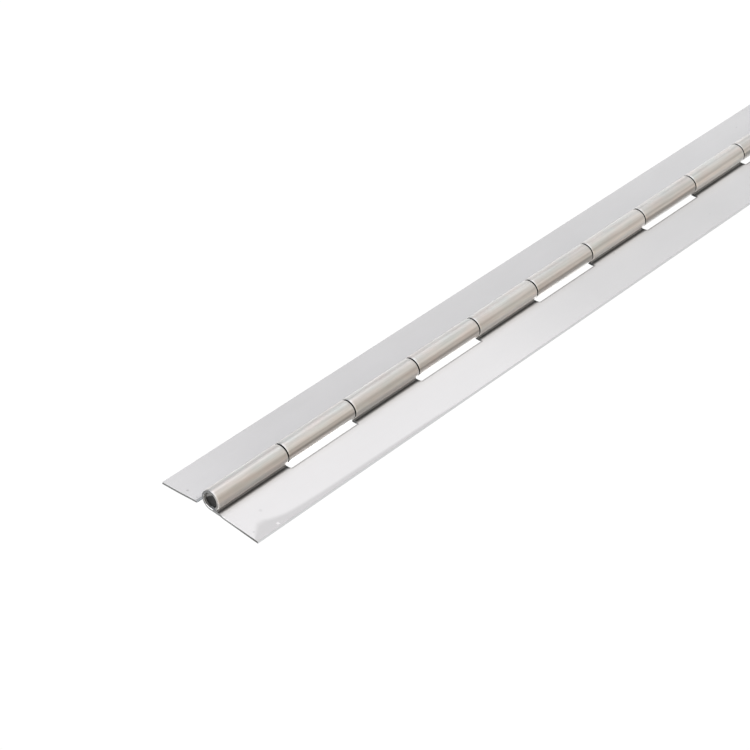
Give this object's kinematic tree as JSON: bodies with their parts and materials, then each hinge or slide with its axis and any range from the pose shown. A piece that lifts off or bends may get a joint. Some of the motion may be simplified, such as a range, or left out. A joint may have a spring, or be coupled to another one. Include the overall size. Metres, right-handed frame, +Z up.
{
  "type": "piano hinge",
  "caption": "Long narrow hinge: two plain undrilled sheet leaves whose edges are rolled into alternating knuckles around one full-length pin.",
  "frame": {"origin": "middle of the footprint, on the plane that the two outer edges of the leaves stand on", "axes": "+Y along the hinge pin; +X from the pin towards the frame leaf's outer edge; +Z up, the side the barrel stands out on"},
  "size_m": [0.0318, 0.3, 0.0066],
  "materials": {
    "leaf_steel": "bright mill-finish stainless sheet with a faint rolling grain along the hinge; rolled knuckles slightly streaked along the barrel; sheared edges darker",
    "pin_steel": "drawn stainless wire, duller than the leaves, cropped ends lightly chamfered"
  },
  "bodies": {
    "frame_leaf": {"frame_leaf": "leaf_steel"},
    "door_leaf": {"door_leaf": "leaf_steel"},
    "hinge_pin": {"hinge_pin": "pin_steel"}
  },
  "joints": [
    {"name": "leaf_swing", "type": "hinge", "parent": "frame_leaf", "child": "door_leaf", "pos_m": [0, 0, 0.00373], "axis": [0, 1, 0], "range_deg": [-84, 186]},
    {"name": "pin_spin", "type": "hinge", "parent": "frame_leaf", "child": "hinge_pin", "pos_m": [0, 0, 0.00373], "axis": [0, 1, 0], "continuous": true}
  ]
}
